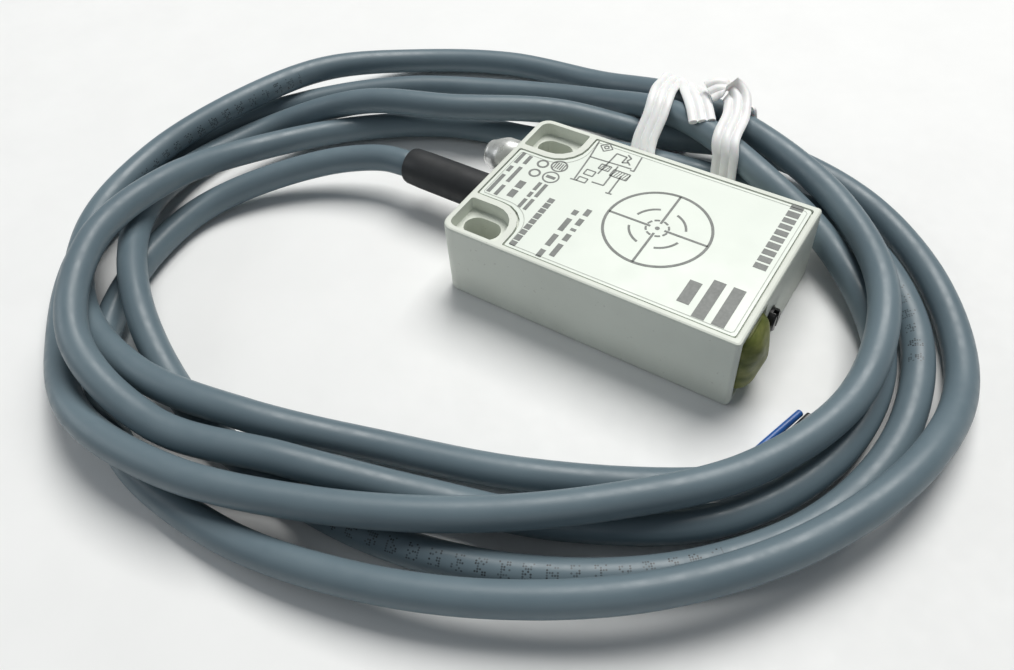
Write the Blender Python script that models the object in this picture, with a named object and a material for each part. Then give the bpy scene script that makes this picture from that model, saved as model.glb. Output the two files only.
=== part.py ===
"""Flat rectangular proximity sensor with a moulded cable, opened out as it comes apart on a bench."""

import math

import bmesh
import bpy
import numpy as np
from mathutils import Matrix, Vector

MM = 0.001

# Housing: X along its length (cable end at -X), Y across, Z up through the sensing face.
LENGTH = 55.0
WIDTH = 35.0
HEIGHT = 15.0
CABLE_END_CORNER = 2.4
FAR_END_CORNER = 0.7
WALL = 1.3
END_WALL = 2.6
ROOF_UNDERSIDE = 13.2
NECK_HALF_WIDTH = 7.5
NECK_START = -15.2
FIT_GAP = 0.3

# Screw corners at the cable end.
RECESS_X = (-26.4, -16.6)
RECESS_Y = (8.6, 16.4)
RECESS_FLOOR = 12.5
RECESS_INNER_CORNER = 4.6
SLOT_CENTRE = (-22.0, 12.5)
SLOT_LENGTH = 7.0
SLOT_WIDTH = 4.6

# Label foil in a shallow tray of the front face.
LABEL_TRAY_FLOOR = 14.3
LABEL_TRAY_EDGE = 1.1
LABEL_THICKNESS = 0.3
LABEL_NOTCH = (-15.3, 7.3)
LABEL_NOTCH_CORNER = 5.8

# Cable outlet on the -X face.
CABLE_DIAMETER = 5.2
CABLE_AXIS_Z = 8.0
SLEEVE_END_X = -47.7
SLEEVE_DIAMETER = 7.4
SLEEVE_NECK_DIAMETER = 6.2

# Sensitivity trimmer on the +X face.
TRIMMER_Y = -3.2
TRIMMER_Z = 7.5
TRIMMER_HEAD_DIAMETER = 4.0
TRIMMER_HEAD_END = 28.8
TRIMMER_SHAFT_RADIUS = 0.5
TRIMMER_BODY_X = (11.6, 21.6)
TRIMMER_BODY_Y = (-5.4, 3.6)
WORM_RADIUS = 0.8
WHEEL_RADIUS = 2.2
WHEEL_X = 16.6

# Yellow window on the +X face, and the clear lens on the -X face.
WINDOW_Y = (-16.2, -6.4)
WINDOW_Z = (0.9, 13.9)
WINDOW_BULGE = 3.0
LENS_Y = 9.4
LENS_Z = 9.5
LENS_RADIUS = 3.9
LENS_LENGTH = 7.6

# Circuit board and the sensing stack above it.
BOARD_Z = (4.0, 5.0)
BOARD_TOP = BOARD_Z[1] + FIT_GAP
SENSING_CENTRE = (5.4, 0.0)
CARRIER_RADIUS = 13.0
CARRIER_Z = (10.9, 11.9)
ELECTRODE_Z = (12.2, 12.6)
LEG_RING = 11.5

CORE_DIAMETER = 1.2
TIE_WIDTH = 5.0
TIE_CLEARANCE = 0.85
TIE_LOWEST = 0.7
TIE_THICKNESS = 0.8

# The free cable, from the sleeve's end face, four laps round the sensor: centre line in millimetres.
CABLE_ROUTE = [
    # out of the sleeve and down on to the table
    (-48, 0, 8), (-53, -0.4, 7.8), (-61, -3.4, 6.8), (-69.5, -9.4, 5.2), (-81, -27, 2.8),
    (-79, -45.5, 2.8),
    (-65, -66.5, 2.8), (-48, -75.5, 2.8),
    # first lap: along the front, round the far end, back behind the housing
    (-26, -77.5, 3), (-5, -74, 4.8), (15.5, -66, 6.2), (33.5, -54, 7.2), (47.5, -37.5, 7),
    (56.5, -17, 6.6), (57.5, 2.5, 3.2), (45.5, 25, 3), (30, 37, 3.4), (9, 41, 4.4),
    (-12, 36, 4.1), (-31, 28.5, 8.2), (-50.5, 18.5, 9.2), (-69.5, 12.2, 8.2), (-87, 1, 2.8),
    (-92, -19, 3.6), (-83.5, -38.5, 7.8), (-68, -53, 7.8),
    # second lap
    (-48.5, -62.5, 3), (-27.5, -66.5, 2.8), (-6, -66, 2.6), (15, -60, 2.8), (38.5, -43.5, 2.6),
    (45.5, -34.5, 2.6), (52.5, -10.5, 2.6), (48, 10.5, 2.8), (29.5, 28.5, 3.1), (15, 29, 4.3),
    (-11.5, 27.5, 4.1), (-33, 24.5, 2.9), (-54, 19.5, 2.8), (-70.5, 9, 2.8), (-82, -8.5, 5.2),
    (-83.5, -29.5, 11.6), (-79, -50, 14.6), (-65, -66.5, 13),
    # third lap
    (-44.5, -70.5, 9), (-23.5, -65, 8.2), (-3.5, -57.5, 4.2), (17, -50, 2.8), (35.5, -38, 2.8),
    (45.5, -19.5, 2.8), (45, 2, 2.8), (32, 18.5, 4.8), (13, 27.5, 9.7), (-7.5, 36, 10.4),
    (-28.5, 40, 4.8), (-49.5, 36, 2.8), (-69.5, 27, 2.8), (-86, 12.5, 2.6), (-96.5, -6, 2.8),
    (-96.5, -29, 2.8), (-92.5, -46.5, 2.8), (-77, -64.5, 3.4),
    # fourth lap, over the others, to the end of the sheath
    (-58, -75, 7.2), (-36.5, -75.5, 8.6), (-15.5, -69, 8.2), (4, -59.5, 8.2), (21.5, -47, 8.4),
    (36.5, -31.5, 8.2), (44.5, -11.5, 8), (41.5, 10, 9), (28.5, 27, 9), (9.5, 37.5, 9.9),
    (-11, 44.5, 8.4), (-32, 48, 3.4), (-54, 46, 2.8), (-73.5, 37, 3), (-86.5, 20.5, 6.6),
    (-92, -0.5, 9), (-96, -22, 8.2), (-91, -43, 8), (-76, -58.5, 8), (-55.5, -64.5, 8.4),
    (-34, -61.5, 7.6), (-14.5, -53.5, 3.2), (6.5, -46.5, 2.8), (25, -37.6, 2.6), (31.2, -33.9, 2.6),
]
CABLE_STEP = 15.6

# The four bare-ended cores past the sheath, side by side.
TAIL_ROUTES = {
    "core_blue": [(32.2, -33.1, 2.4), (34.2, -27.4, 2.6), (35.9, -21.6, 2.4), (38.0, -14.6, 2.2)],
    "core_black": [(33.0, -34.3, 2.4), (35.2, -27.8, 1.7), (37.1, -21.4, 1.1), (39.4, -13.9, 1.6)],
    "core_brown": [(31.7, -32.3, 0.9), (32.4, -30.2, 0.8), (33.0, -28.2, 0.7), (33.6, -26.3, 0.7)],
    "core_white": [(32.4, -33.7, 0.9), (36.2, -30.6, 0.8), (38.6, -26.4, 0.8), (40.2, -21.4, 0.8)],
}

# Two turns of a flat ribbed tie round the four strands behind the housing: where along the strands
# a turn starts and ends, and the angles it runs through, from 0 at the back over 90 at the top.
TIE_TURNS = {
    "tie_wrap_left": ((-16.6, -1.6), (0, 322)),
    "tie_wrap_right": ((15.0, 4.0), (385, 80)),
}
TIE_STRANDS_Y = (18.0, 52.0)

INNER_LEADS = {
    "lead_brown": (-2.7, 9.2),
    "lead_white": (-0.9, 6.7),
    "lead_blue": (0.9, 9.2),
    "lead_black": (2.7, 6.7),
}

PALETTE = {
    "polyester_light_grey": ((0.62, 0.64, 0.58), 0.45, 0.0),
    "label_foil": ((0.80, 0.84, 0.78), 0.35, 0.0),
    "resin_dark": ((0.05, 0.05, 0.05), 0.3, 0.0),
    "board_green": ((0.03, 0.20, 0.08), 0.4, 0.0),
    "copper": ((0.72, 0.36, 0.20), 0.3, 1.0),
    "tin": ((0.62, 0.62, 0.62), 0.3, 1.0),
    "black_moulding": ((0.02, 0.02, 0.022), 0.5, 0.0),
    "blue_moulding": ((0.03, 0.10, 0.35), 0.4, 0.0),
    "ceramic": ((0.75, 0.72, 0.66), 0.5, 0.0),
    "window_yellow": ((0.45, 0.42, 0.10), 0.2, 0.0),
    "clear_lens": ((0.85, 0.87, 0.85), 0.1, 0.0),
    "sleeve_black": ((0.03, 0.03, 0.035), 0.6, 0.0),
    "cable_grey": ((0.20, 0.26, 0.29), 0.45, 0.0),
    "core_brown": ((0.18, 0.07, 0.03), 0.4, 0.0),
    "core_white": ((0.75, 0.75, 0.73), 0.4, 0.0),
    "core_blue": ((0.02, 0.12, 0.45), 0.4, 0.0),
    "core_black": ((0.02, 0.02, 0.02), 0.4, 0.0),
    "tie_white": ((0.85, 0.85, 0.84), 0.5, 0.0),
}


def clear_scene():
    for obj in list(bpy.data.objects):
        bpy.data.objects.remove(obj, do_unlink=True)


def finish_of(slot):
    """The Principled material of one palette entry, made once."""
    if slot in bpy.data.materials:
        return bpy.data.materials[slot]
    colour, roughness, metallic = PALETTE[slot]
    material = bpy.data.materials.new(slot)
    material.use_nodes = True
    shader = material.node_tree.nodes["Principled BSDF"]
    shader.inputs["Base Color"].default_value = (*colour, 1.0)
    shader.inputs["Roughness"].default_value = roughness
    shader.inputs["Metallic"].default_value = metallic
    return material


def add_object(name, bm, slot, origin=(0.0, 0.0, 0.0)):
    """Puts a mesh made in millimetres into the scene in metres, about its own origin."""
    bmesh.ops.recalc_face_normals(bm, faces=bm.faces)
    bmesh.ops.translate(bm, verts=bm.verts, vec=-Vector(origin))
    bmesh.ops.scale(bm, verts=bm.verts, vec=(MM, MM, MM))
    mesh = bpy.data.meshes.new(name)
    bm.to_mesh(mesh)
    bm.free()
    obj = bpy.data.objects.new(name, mesh)
    obj.location = Vector(origin) * MM
    bpy.context.scene.collection.objects.link(obj)
    if slot:
        mesh.materials.append(finish_of(slot))
    return obj


def smooth(obj, angle=35.0):
    obj.data.shade_smooth()
    obj.data.set_sharp_from_angle(angle=math.radians(angle))


def cut(target, cutter):
    """Takes one helper solid out of the target, and keeps the helper out of the render."""
    cutter.hide_render = True
    cutter.display_type = "WIRE"
    modifier = target.modifiers.new("Cut_" + cutter.name, "BOOLEAN")
    modifier.operation = "DIFFERENCE"
    modifier.solver = "EXACT"
    modifier.object = cutter


def bevel(obj, width, segments=1, angle=50.0):
    modifier = obj.modifiers.new("Bevel", "BEVEL")
    modifier.width = width * MM
    modifier.segments = segments
    modifier.limit_method = "ANGLE"
    modifier.angle_limit = math.radians(angle)


def corner_arc(before, corner, after, radius, steps):
    """The points of a fillet at one corner of an outline."""
    corner = Vector(corner)
    if radius == 0:
        return [tuple(corner)]
    toward_before = (Vector(before) - corner).normalized()
    toward_after = (Vector(after) - corner).normalized()
    half_angle = toward_before.angle(toward_after) / 2
    centre = corner + (toward_before + toward_after).normalized() * radius / math.sin(half_angle)
    setback = radius / math.tan(half_angle)
    start = corner + toward_before * setback - centre
    end = corner + toward_after * setback - centre
    sweep = start.angle_signed(end)
    return [tuple(centre + Matrix.Rotation(-sweep * i / steps, 2) @ start) for i in range(steps + 1)]


def rounded_outline(corners, steps=5):
    """Corners are (x, y, fillet radius), in order round the outline."""
    outline = []
    for index, (x, y, radius) in enumerate(corners):
        before = corners[index - 1][:2]
        after = corners[(index + 1) % len(corners)][:2]
        outline += corner_arc(before, (x, y), after, radius, steps)
    return outline


def prism(name, outline, low, high, slot=None):
    """An outline in X and Y, extruded from one height to another."""
    bm = bmesh.new()
    floor = bm.faces.new([bm.verts.new((x, y, low)) for x, y in outline])
    top = bmesh.ops.extrude_face_region(bm, geom=[floor])["geom"]
    verts = [item for item in top if isinstance(item, bmesh.types.BMVert)]
    bmesh.ops.translate(bm, verts=verts, vec=(0, 0, high - low))
    return add_object(name, bm, slot)


def block(name, low, high, slot=None, origin=(0.0, 0.0, 0.0)):
    """A rectangular block between two corners."""
    bm = bmesh.new()
    bmesh.ops.create_cube(bm, size=1.0)
    size = [b - a for a, b in zip(low, high)]
    middle = [(a + b) / 2 for a, b in zip(low, high)]
    bmesh.ops.scale(bm, verts=bm.verts, vec=size)
    bmesh.ops.translate(bm, verts=bm.verts, vec=middle)
    return add_object(name, bm, slot, origin)


def turned(name, profile, centre, slot=None, segments=28, along="X", origin=(0.0, 0.0, 0.0)):
    """A solid of revolution about a line parallel to X or Z; the profile is (distance along, radius)."""
    bm = bmesh.new()
    rings = []
    for distance, radius in profile:
        ring = []
        for i in range(segments):
            turn = 2 * math.pi * i / segments
            a = radius * math.cos(turn)
            b = radius * math.sin(turn)
            place = (distance, centre[0] + a, centre[1] + b)
            if along == "Z":
                place = (centre[0] + a, centre[1] + b, distance)
            ring.append(bm.verts.new(place))
        rings.append(ring)
    for ring, following in zip(rings, rings[1:]):
        for i in range(segments):
            j = (i + 1) % segments
            bm.faces.new((ring[i], ring[j], following[j], following[i]))
    bm.faces.new(rings[0])
    bm.faces.new(rings[-1])
    return add_object(name, bm, slot, origin)


def collar(name, inner, outer, start, end, centre, slot, along="X", segments=28):
    """A plain ring: a turned sleeve that is open through its middle."""
    bm = bmesh.new()
    loops = []
    for distance, radius in ((start, inner), (end, inner), (end, outer), (start, outer)):
        loop = []
        for i in range(segments):
            turn = 2 * math.pi * i / segments
            a = radius * math.cos(turn)
            b = radius * math.sin(turn)
            place = (distance, centre[0] + a, centre[1] + b)
            if along == "Z":
                place = (centre[0] + a, centre[1] + b, distance)
            loop.append(bm.verts.new(place))
        loops.append(loop)
    for k in range(4):
        ring = loops[k]
        following = loops[(k + 1) % 4]
        for i in range(segments):
            j = (i + 1) % segments
            bm.faces.new((ring[i], ring[j], following[j], following[i]))
    obj = add_object(name, bm, slot)
    smooth(obj)
    return obj


def smooth_curve(route, step, fine=0.5):
    """Points evenly spaced, about one step apart, on a smooth curve through a route.

    Each stretch is a cubic whose end slopes are the length-weighted mean of its neighbours'.
    """
    points = np.array(route, float)
    spans = np.diff(points, axis=0)
    lengths = np.linalg.norm(spans, axis=1)
    slopes = spans / lengths[:, None]
    before = lengths[:-1, None]
    after = lengths[1:, None]
    inner = (slopes[:-1] * after + slopes[1:] * before) / (before + after)
    tangents = np.vstack([slopes[:1], inner, slopes[-1:]])
    curve = []
    for i, length in enumerate(lengths):
        count = max(1, round(length / fine))
        u = (np.arange(count) / count)[:, None]
        curve.append(
            (2 * u**3 - 3 * u**2 + 1) * points[i]
            + (u**3 - 2 * u**2 + u) * length * tangents[i]
            + (3 * u**2 - 2 * u**3) * points[i + 1]
            + (u**3 - u**2) * length * tangents[i + 1]
        )
    curve = np.vstack([*curve, points[-1:]])
    along = np.concatenate([[0.0], np.cumsum(np.linalg.norm(np.diff(curve, axis=0), axis=1))])
    stations = np.linspace(0.0, along[-1], round(along[-1] / step) + 1)
    return np.column_stack([np.interp(stations, along, curve[:, axis]) for axis in range(3)])


def tube(name, points, diameter, slot, resolution=2):
    """A round cord along points, as a bevelled poly curve with filled caps."""
    data = bpy.data.curves.new(name, "CURVE")
    data.dimensions = "3D"
    data.bevel_depth = diameter / 2 * MM
    data.bevel_resolution = resolution
    data.use_fill_caps = True
    spline = data.splines.new("POLY")
    spline.points.add(len(points) - 1)
    for point, place in zip(spline.points, points):
        point.co = (*(place * MM), 1.0)
    data.materials.append(finish_of(slot))
    obj = bpy.data.objects.new(name, data)
    bpy.context.scene.collection.objects.link(obj)
    return obj


def tie_turn(cable_curve, along, angles, step=12.0):
    """A band's middle line round every strand that crosses a plane, pulled tight.

    At each angle it touches the strand that reaches furthest that way.
    """
    reach = CABLE_DIAMETER / 2 + TIE_CLEARANCE + TIE_THICKNESS / 2
    count = round(abs(angles[1] - angles[0]) / step)
    line = []
    for i in range(count + 1):
        x = along[0] + (along[1] - along[0]) * i / count
        turn = math.radians(angles[0] + (angles[1] - angles[0]) * i / count)
        crossing = np.flatnonzero(np.diff(np.sign(cable_curve[:, 0] - x)))
        strands = cable_curve[crossing][:, 1:]
        near = (strands[:, 0] > TIE_STRANDS_Y[0]) & (strands[:, 0] < TIE_STRANDS_Y[1])
        out = np.array([math.cos(turn), math.sin(turn)])
        furthest = max(strands[near], key=lambda strand: strand @ out)
        place = np.array([x, *(furthest + out * reach)])
        place[2] = max(place[2], TIE_LOWEST)
        if not line or np.linalg.norm(place - line[-1]) > 0.4:
            line.append(place)
    return np.array(line)


def strip(name, points, width, thickness, slot):
    """A flat band along points; its width lies along the run of the strands that it wraps."""
    bundle = Vector((0.99, -0.12, 0.0))
    bm = bmesh.new()
    rows = []
    for index, place in enumerate(points):
        ahead = points[min(index + 1, len(points) - 1)]
        behind = points[max(index - 1, 0)]
        forward = Vector(ahead - behind).normalized()
        across = (bundle - forward * bundle.dot(forward)).normalized()
        out = forward.cross(across)
        middle = Vector(place)
        row = []
        for a, b in ((-1, -1), (1, -1), (1, 1), (-1, 1)):
            row.append(bm.verts.new(middle + across * a * width / 2 + out * b * thickness / 2))
        rows.append(row)
    for row, following in zip(rows, rows[1:]):
        for i in range(4):
            j = (i + 1) % 4
            bm.faces.new((row[i], row[j], following[j], following[i]))
    bm.faces.new(rows[0])
    bm.faces.new(rows[-1])
    return add_object(name, bm, slot)


def inset_cavity(inset, far=None, near=-26.1):
    """Outline of the housing's inside: the wide chamber and the neck between the screw corners."""
    far_x = LENGTH / 2 - END_WALL - inset if far is None else far
    side = WIDTH / 2 - WALL - inset
    start = NECK_START + inset
    neck = NECK_HALF_WIDTH - inset
    near_x = near + inset
    return [
        (far_x, -side), (far_x, side), (start, side), (start, neck),
        (near_x, neck), (near_x, -neck), (start, -neck), (start, -side),
    ]


def label_outline(inset):
    """The label's outline: the front face less its rim and the two screw corners."""
    x0 = -LENGTH / 2 + LABEL_TRAY_EDGE + inset
    x1 = LENGTH / 2 - LABEL_TRAY_EDGE - inset
    y1 = WIDTH / 2 - LABEL_TRAY_EDGE - inset
    notch_x = LABEL_NOTCH[0] + inset
    notch_y = LABEL_NOTCH[1] - inset
    corner = LABEL_NOTCH_CORNER
    return rounded_outline([
        (x1, -y1, 0.5), (x1, y1, 0.5), (notch_x, y1, 0.3), (notch_x, notch_y, corner),
        (x0, notch_y, 0.3), (x0, -notch_y, 0.3), (notch_x, -notch_y, corner), (notch_x, -y1, 0.3),
    ])


def screw_recess(side):
    """The pocket round one slot, with a wide fillet at its inner corner; side is +1 or -1."""
    x0, x1 = RECESS_X
    y0, y1 = (side * y for y in RECESS_Y)
    corners = [(x0, y1, 1.6), (x1, y1, 0.4), (x1, y0, RECESS_INNER_CORNER), (x0, y0, 0.5)]
    return rounded_outline(corners if side < 0 else corners[::-1])


def screw_slot(side, steps=10):
    """A slot with round ends that runs along X; side is +1 or -1."""
    radius = SLOT_WIDTH / 2
    straight = SLOT_LENGTH / 2 - radius
    outline = []
    for end in (1, -1):
        for i in range(steps + 1):
            turn = math.pi * (i / steps - 0.5)
            x = SLOT_CENTRE[0] + end * (straight + radius * math.cos(turn))
            outline.append((x, side * SLOT_CENTRE[1] + end * radius * math.sin(turn)))
    return outline


def make_housing():
    x = LENGTH / 2
    y = WIDTH / 2
    outline = rounded_outline([
        (x, -y, FAR_END_CORNER), (x, y, FAR_END_CORNER),
        (-x, y, CABLE_END_CORNER), (-x, -y, CABLE_END_CORNER),
    ])
    housing = prism("housing", outline, 0.0, HEIGHT, "polyester_light_grey")
    bevel(housing, 0.4, 2)
    cut(housing, prism("cavity", inset_cavity(0.0), -1.0, ROOF_UNDERSIDE))
    cut(housing, prism("label_tray", label_outline(0.0), LABEL_TRAY_FLOOR, HEIGHT + 1.0))
    for side, word in ((1, "back"), (-1, "front")):
        cut(housing, prism("recess_" + word, screw_recess(side), RECESS_FLOOR, HEIGHT + 1.0))
        cut(housing, prism("slot_" + word, screw_slot(side), -1.0, RECESS_FLOOR + 1.0))
    neck = SLEEVE_NECK_DIAMETER / 2 + FIT_GAP
    cut(housing, turned("cable_hole", [(-29, neck), (-24, neck)], (0, CABLE_AXIS_Z)))
    cut(housing, turned("lens_wire_hole", [(-29, 0.8), (-24, 0.8)], (6.5, LENS_Z), segments=12))
    cut(housing, block("window_pocket", (26.2, WINDOW_Y[0], WINDOW_Z[0]), (29, WINDOW_Y[1], WINDOW_Z[1])))
    cut(housing, block("window_opening", (24, -15.2, 2.2), (27, -7.4, 12.4)))
    head = TRIMMER_HEAD_DIAMETER / 2 + FIT_GAP
    place = (TRIMMER_Y, TRIMMER_Z)
    cut(housing, turned("trimmer_hole", [(24, head), (29, head)], place))
    cut(housing, turned("seal_seat", [(24, 3.1), (26.3, 3.1)], place))


def make_covers():
    label = prism("front_label", label_outline(FIT_GAP), LABEL_TRAY_FLOOR + FIT_GAP,
                  LABEL_TRAY_FLOOR + FIT_GAP + LABEL_THICKNESS, "label_foil")
    label.data.shade_flat()
    prism("base_plate", inset_cavity(FIT_GAP), 0.0, 1.6, "polyester_light_grey")
    prism("potting_resin", inset_cavity(0.5, near=-24.0), 1.9, 3.7, "resin_dark")


def make_board():
    prism("circuit_board", inset_cavity(0.6, near=-19.0), *BOARD_Z, "board_green")
    parts = {
        "oscillator_chip": ((1.5, 4.0, 0.0), (6.5, 8.0, 1.5), "black_moulding"),
        "amplifier_chip": ((1.0, -11.0, 0.0), (6.0, -7.0, 1.5), "black_moulding"),
        "voltage_regulator": ((-12.5, 8.6, 0.0), (-6.0, 12.1, 1.6), "black_moulding"),
        "output_transistor": ((-12.5, -12.1, 0.0), (-6.0, -8.6, 1.6), "black_moulding"),
        "protection_diode": ((16.5, 10.5, 0.0), (20.8, 13.1, 2.1), "black_moulding"),
        "window_led": ((22.0, -11.6, 0.0), (23.6, -8.8, 1.2), "ceramic"),
        "ceramic_capacitor_1": ((-2.5, 9.5, 0.0), (-0.5, 10.8, 1.1), "ceramic"),
        "ceramic_capacitor_2": ((-2.5, -6.0, 0.0), (-0.5, -4.7, 1.1), "ceramic"),
    }
    for name, (low, high, slot) in parts.items():
        block(name, (low[0], low[1], BOARD_TOP), (high[0], high[1], BOARD_TOP + high[2]), slot)
    for i in range(4):
        low = (13.2, 4.4 + 2.2 * i, BOARD_TOP)
        block(f"resistor_{i + 1}", low, (low[0] + 2.0, low[1] + 1.25, low[2] + 0.5), "black_moulding")
    can = turned("filter_capacitor", [(BOARD_TOP, 2.5), (10.2, 2.5), (10.6, 2.1)], (-10.5, 3.6),
                 "tin", segments=20, along="Z")
    smooth(can)


def make_sensing_stack():
    x, y = SENSING_CENTRE
    carrier = turned("electrode_carrier", [(CARRIER_Z[0], CARRIER_RADIUS), (CARRIER_Z[1], CARRIER_RADIUS)],
                     SENSING_CENTRE, "black_moulding", segments=36, along="Z")
    for i in range(3):
        turn = math.radians(60 + 120 * i)
        foot = (x + LEG_RING * math.cos(turn), y + LEG_RING * math.sin(turn))
        leg = turned(f"carrier_leg_{i + 1}", [(BOARD_TOP, 0.9), (CARRIER_Z[0] + 0.5, 0.9)], foot,
                     segments=10, along="Z")
        leg.hide_render = True
        leg.display_type = "WIRE"
        join = carrier.modifiers.new(leg.name, "BOOLEAN")
        join.operation = "UNION"
        join.solver = "EXACT"
        join.object = leg
    cut(carrier, turned("lead_hole", [(8, 0.8), (14, 0.8)], SENSING_CENTRE, segments=12, along="Z"))
    disc = turned("sensing_electrode", [(ELECTRODE_Z[0], 7.0), (ELECTRODE_Z[1], 7.0)], SENSING_CENTRE,
                  "copper", segments=32, along="Z")
    smooth(disc)
    collar("guard_ring", 8.6, 12.0, *ELECTRODE_Z, SENSING_CENTRE, "copper", along="Z", segments=36)
    turned("electrode_lead", [(BOARD_TOP, 0.4), (CARRIER_Z[1], 0.4)], SENSING_CENTRE, "tin",
           segments=10, along="Z")


def make_trimmer():
    """A multi-turn trimmer: the head outside turns a worm, which turns the wiper's wheel."""
    y = TRIMMER_Y
    x0, x1 = TRIMMER_BODY_X
    y0, y1 = TRIMMER_BODY_Y
    body = block("trimmer_body", (x0, y0, 5.3), (x1, y1, 9.4), "blue_moulding")
    cut(body, block("trimmer_chamber", (x0 + 0.8, y0 + 0.8, 5.9), (x1 - 0.8, y1 - 0.8, 11.0)))
    bore = TRIMMER_SHAFT_RADIUS + FIT_GAP
    cut(body, turned("shaft_bore", [(19, bore), (23, bore)], (y, TRIMMER_Z), segments=16))
    block("trimmer_cover", (x0, y0, 9.7), (x1, y1, 10.3), "blue_moulding")

    wheel_y = y + WORM_RADIUS + FIT_GAP + WHEEL_RADIUS
    place = (WHEEL_X, wheel_y)
    collar("trimmer_element", 1.1, 2.0, 6.2, 6.5, place, "ceramic", along="Z", segments=24)
    profile = [(6.2, 0.6), (7.0, 0.6), (7.0, WHEEL_RADIUS), (8.0, WHEEL_RADIUS), (8.0, 0.6), (9.3, 0.6)]
    wheel = turned("trimmer_wiper_wheel", profile, place, "copper", segments=20, along="Z",
                   origin=(*place, TRIMMER_Z))
    cut(wheel, block("wheel_notch", (WHEEL_X - 0.4, wheel_y + 1.5, 6), (WHEEL_X + 0.4, wheel_y + 3, 9)))

    head = TRIMMER_HEAD_DIAMETER / 2
    shaft = TRIMMER_SHAFT_RADIUS
    profile = [
        (12.7, shaft), (14.6, shaft), (14.6, WORM_RADIUS), (18.6, WORM_RADIUS), (18.6, shaft),
        (22.0, shaft), (22.0, 1.3), (24.6, 1.3), (24.6, head), (TRIMMER_HEAD_END - 0.3, head),
        (TRIMMER_HEAD_END, head - 0.3),
    ]
    adjuster = turned("trimmer_adjuster", profile, (y, TRIMMER_Z), "black_moulding", segments=24,
                      origin=(LENGTH / 2, y, TRIMMER_Z))
    slot = block("driver_slot", (TRIMMER_HEAD_END - 0.8, y - 0.4, TRIMMER_Z - 3),
                 (TRIMMER_HEAD_END + 1, y + 0.4, TRIMMER_Z + 3))
    cut(adjuster, slot)
    smooth(adjuster)
    collar("trimmer_seal", head + FIT_GAP, 2.8, 25.0, 26.0, (y, TRIMMER_Z), "sleeve_black", segments=24)


def make_window(rings=6, segments=32, squareness=4.0):
    """A plate with a swollen face; the outline is a superellipse, and the swell half an ellipse."""
    inset = FIT_GAP
    centre_y = (WINDOW_Y[0] + WINDOW_Y[1]) / 2
    centre_z = (WINDOW_Z[0] + WINDOW_Z[1]) / 2
    half_y = (WINDOW_Y[1] - WINDOW_Y[0]) / 2 - inset
    half_z = (WINDOW_Z[1] - WINDOW_Z[0]) / 2 - inset
    plate_back = 26.5
    plate_front = 27.3
    levels = [(plate_back, 1.0)]
    for k in range(rings):
        turn = math.pi / 2 * k / rings
        levels.append((plate_front + WINDOW_BULGE * math.sin(turn), math.cos(turn)))
    bm = bmesh.new()
    loops = []
    for x, share in levels:
        loop = []
        for i in range(segments):
            turn = 2 * math.pi * i / segments
            a = math.cos(turn)
            b = math.sin(turn)
            reach = (abs(a) ** squareness + abs(b) ** squareness) ** (-1 / squareness)
            loop.append(bm.verts.new((x, centre_y + half_y * share * reach * a,
                                      centre_z + half_z * share * reach * b)))
        loops.append(loop)
    for loop, following in zip(loops, loops[1:]):
        for i in range(segments):
            j = (i + 1) % segments
            bm.faces.new((loop[i], loop[j], following[j], following[i]))
    bm.faces.new(loops[0])
    apex = bm.verts.new((plate_front + WINDOW_BULGE, centre_y, centre_z))
    for i in range(segments):
        bm.faces.new((loops[-1][i], loops[-1][(i + 1) % segments], apex))
    window = add_object("window", bm, "window_yellow")
    smooth(window)


def make_lens(steps=7):
    """A bullet of clear resin on the -X face, hollow at its foot for its lamp."""
    foot = -LENGTH / 2 - FIT_GAP
    barrel = foot - 3.0
    tip = foot - LENS_LENGTH
    profile = [(foot, LENS_RADIUS)]
    for i in range(steps):
        turn = math.pi / 2 * i / steps
        profile.append((barrel + (tip - barrel) * math.sin(turn), LENS_RADIUS * math.cos(turn) ** 0.8))
    profile.append((tip, 0.5))
    lens = turned("indicator_lens", profile, (LENS_Y, LENS_Z), "clear_lens", segments=24)
    smooth(lens)
    cut(lens, block("lens_hollow", (-30.6, 5.9, 8.2), (-27, 10.9, 10.8)))
    outline = [(-30.2, 10.5), (-28.1, 10.5), (-28.1, 6.9), (-25.0, 6.9), (-25.0, 6.2), (-28.6, 6.2),
               (-28.6, 8.3), (-30.2, 8.3)]
    prism("indicator_led", outline[::-1], LENS_Z - 0.4, LENS_Z + 0.4, "ceramic")


def make_cable_entry():
    neck = SLEEVE_NECK_DIAMETER / 2
    body = SLEEVE_DIAMETER / 2
    profile = [
        (-24.6, 3.2), (-24.6, 4.4), (-25.8, 4.4), (-25.8, neck), (-27.8, neck), (-27.8, body),
        (-44.0, body), (-46.8, body - 0.25), (SLEEVE_END_X, body - 0.7),
    ]
    sleeve = turned("cable_sleeve", profile, (0, CABLE_AXIS_Z), "sleeve_black")
    smooth(sleeve)
    stub = CABLE_DIAMETER / 2
    jacket = turned("jacket_end", [(-24.3, stub), (-19.6, stub)], (0, CABLE_AXIS_Z), "cable_grey", segments=20)
    smooth(jacket)
    collar("cable_clamp", stub + FIT_GAP, 3.5, -23.6, -20.6, (0, CABLE_AXIS_Z), "tin", segments=24)
    for name, (y, z) in INNER_LEADS.items():
        start = (-19.3, y * 0.45, CABLE_AXIS_Z + (z - CABLE_AXIS_Z) * 0.9)
        route = [start, (-17.2, y, z - 0.3), (-15.6, y * 1.15, BOARD_TOP + 0.9), (-14.2, y * 1.2, BOARD_TOP + 0.62)]
        tube(name, smooth_curve(route, 1.2), CORE_DIAMETER * 0.8, name.replace("lead", "core"), resolution=1)


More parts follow.
